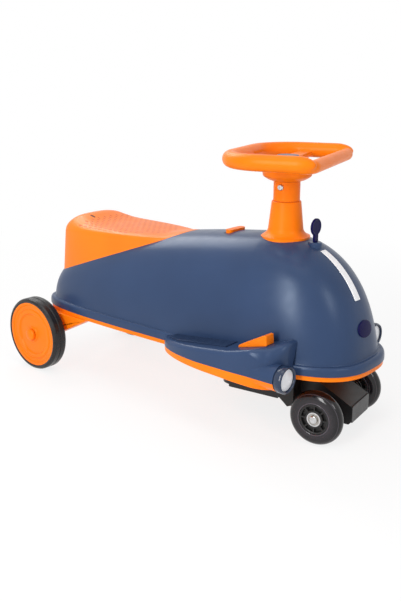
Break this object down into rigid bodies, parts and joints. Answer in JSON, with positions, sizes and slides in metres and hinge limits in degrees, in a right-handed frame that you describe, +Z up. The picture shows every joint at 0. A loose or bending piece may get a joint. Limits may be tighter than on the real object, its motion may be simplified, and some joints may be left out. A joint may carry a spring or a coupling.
{
  "type": "wiggle car",
  "caption": "Ride-on wiggle car for a child: domed body, moulded saddle, foot rests with headlamps, a steering wheel that swings a wheeled yoke under the nose, and fixed rear wheels.",
  "frame": {"origin": "on the floor under the middle of the car", "axes": "+X toward the nose, +Y the car's left, +Z up"},
  "size_m": [0.694, 0.3, 0.4265],
  "materials": {
    "navy_plastic": "satin moulded plastic",
    "orange_plastic": "satin moulded plastic",
    "black_plastic": "fine-grained moulded plastic",
    "rear_rubber": "smooth dark tyre",
    "front_urethane": "smoky cast urethane",
    "steel": "plated steel",
    "bush_plastic": "natural white plastic",
    "lens_plastic": "milky diffuser"
  },
  "bodies": {
    "car": {"body_shell": "navy_plastic", "base_tray": "orange_plastic", "seat": "orange_plastic", "footrest_right": "navy_plastic", "footrest_left": "navy_plastic", "foot_mat_right": "navy_plastic", "foot_mat_left": "navy_plastic", "footrest_base_right": "orange_plastic", "footrest_base_left": "orange_plastic", "toe_wedge_right": "orange_plastic", "toe_wedge_left": "orange_plastic", "lamp_bezel_right": "navy_plastic", "lamp_bezel_left": "navy_plastic", "lamp_lens_right": "lens_plastic", "lamp_lens_left": "lens_plastic", "light_strip": "lens_plastic", "front_badge": "navy_plastic", "key_switch": "navy_plastic", "button_housing": "black_plastic", "steering_collar": "orange_plastic", "upper_bush": "bush_plastic", "lower_bush": "bush_plastic", "sound_module": "black_plastic", "base_screws": "steel", "axle_bracket_right": "orange_plastic", "axle_bracket_left": "orange_plastic", "rear_axle": "steel", "axle_cap_right": "orange_plastic", "axle_cap_left": "orange_plastic"},
    "steering": {"steering_wheel": "orange_plastic", "hub_cap": "navy_plastic", "stem": "orange_plastic", "stem_bolt": "steel", "stem_nut": "steel", "steering_shaft": "steel", "yoke": "black_plastic", "yoke_cover": "black_plastic", "yoke_pin": "steel", "thrust_washer": "steel", "front_axle": "steel", "axle_spacer_right": "black_plastic", "axle_spacer_left": "black_plastic"},
    "front_wheel_right": {"front_tyre_right": "front_urethane", "front_core_right": "black_plastic", "bearing_outer_right": "steel", "bearing_inner_right": "steel", "bearing_tube_right": "steel"},
    "front_wheel_left": {"front_tyre_left": "front_urethane", "front_core_left": "black_plastic", "bearing_outer_left": "steel", "bearing_inner_left": "steel", "bearing_tube_left": "steel"},
    "rear_wheel_right": {"rear_tyre_right": "rear_rubber", "rear_disc_right": "orange_plastic"},
    "rear_wheel_left": {"rear_tyre_left": "rear_rubber", "rear_disc_left": "orange_plastic"},
    "key": {"key": "navy_plastic"},
    "push_button": {"push_button": "orange_plastic"}
  },
  "joints": [
    {"name": "steering_turn", "type": "hinge", "parent": "car", "child": "steering", "pos_m": [0.184, 0, 0.35], "axis": [0, 0, 1], "continuous": true},
    {"name": "front_wheel_right_spin", "type": "hinge", "parent": "steering", "child": "front_wheel_right", "pos_m": [0.29149, -0.06307, 0.0423], "axis": [-0.1219, 0.9925, 0], "continuous": true},
    {"name": "front_wheel_left_spin", "type": "hinge", "parent": "steering", "child": "front_wheel_left", "pos_m": [0.27304, 0.0872, 0.0423], "axis": [-0.1219, 0.9925, 0], "continuous": true},
    {"name": "rear_wheel_right_spin", "type": "hinge", "parent": "car", "child": "rear_wheel_right", "pos_m": [-0.2795, -0.12605, 0.0675], "axis": [0, 1, 0], "continuous": true},
    {"name": "rear_wheel_left_spin", "type": "hinge", "parent": "car", "child": "rear_wheel_left", "pos_m": [-0.2795, 0.12605, 0.0675], "axis": [0, 1, 0], "continuous": true},
    {"name": "key_turn", "type": "hinge", "parent": "car", "child": "key", "pos_m": [0.238, 0, 0.2905], "axis": [0, 0, 1], "range_deg": [0, 90]},
    {"name": "button_press", "type": "slide", "parent": "car", "child": "push_button", "axis": [0, 0, -1], "range_m": [0, 0.0025], "stiffness_N_per_m": 800, "springref_m": -0.002}
  ]
}
